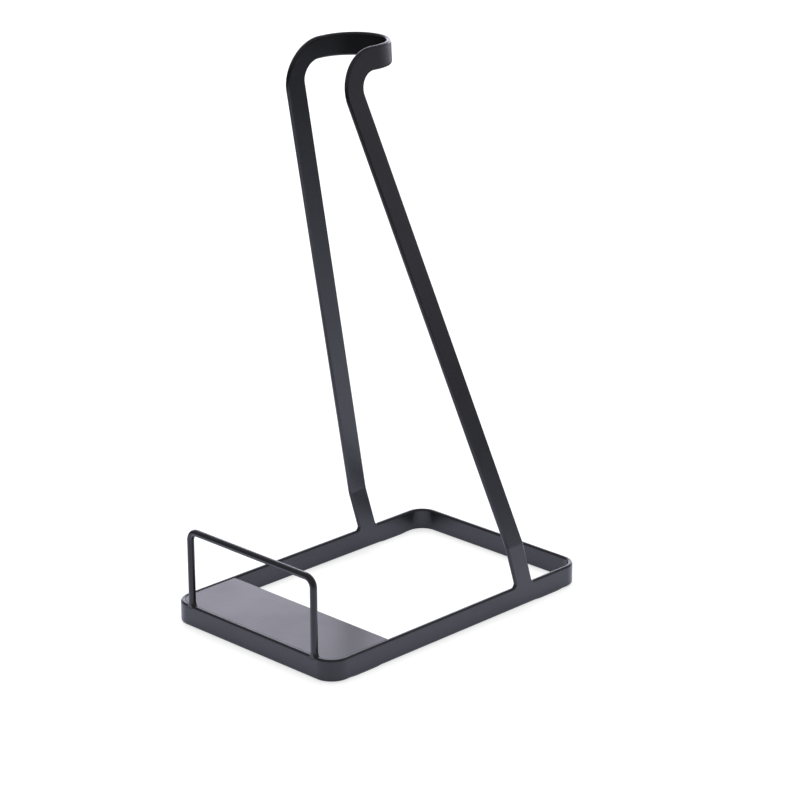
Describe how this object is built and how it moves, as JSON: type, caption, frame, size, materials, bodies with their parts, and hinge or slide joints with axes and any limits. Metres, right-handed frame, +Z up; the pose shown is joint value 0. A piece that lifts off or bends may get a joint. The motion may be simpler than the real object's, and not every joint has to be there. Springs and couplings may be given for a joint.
{
  "type": "stick vacuum cleaner stand",
  "caption": "Black steel floor stand for a stick vacuum cleaner: flat-bar ring base with a front plate and guard rail, and a forward-leaning upright bent into an open yoke.",
  "frame": {"origin": "on the floor, under the middle of the base ring", "axes": "+Z up, -Y the front, where the cleaner's head stands, +X across the stand, to the right seen from the front"},
  "size_m": [0.192, 0.3, 0.49],
  "materials": {
    "powder_coat": "satin black powder coat, fine texture",
    "pad_rubber": "matte"
  },
  "bodies": {
    "root": {"base_ring": "powder_coat", "upright": "powder_coat", "front_plate": "powder_coat", "guard_rail": "powder_coat", "left_leg_weld_front": "powder_coat", "left_leg_weld_back": "powder_coat", "right_leg_weld_front": "powder_coat", "right_leg_weld_back": "powder_coat", "guard_weld_left": "powder_coat", "guard_weld_right": "powder_coat", "plate_weld_front_left": "powder_coat", "plate_weld_front_right": "powder_coat", "plate_weld_left_fore": "powder_coat", "plate_weld_left_aft": "powder_coat", "plate_weld_right_fore": "powder_coat", "plate_weld_right_aft": "powder_coat", "floor_pad_left_front": "pad_rubber", "floor_pad_left_back": "pad_rubber", "floor_pad_right_front": "pad_rubber", "floor_pad_right_back": "pad_rubber"}
  },
  "joints": []
}
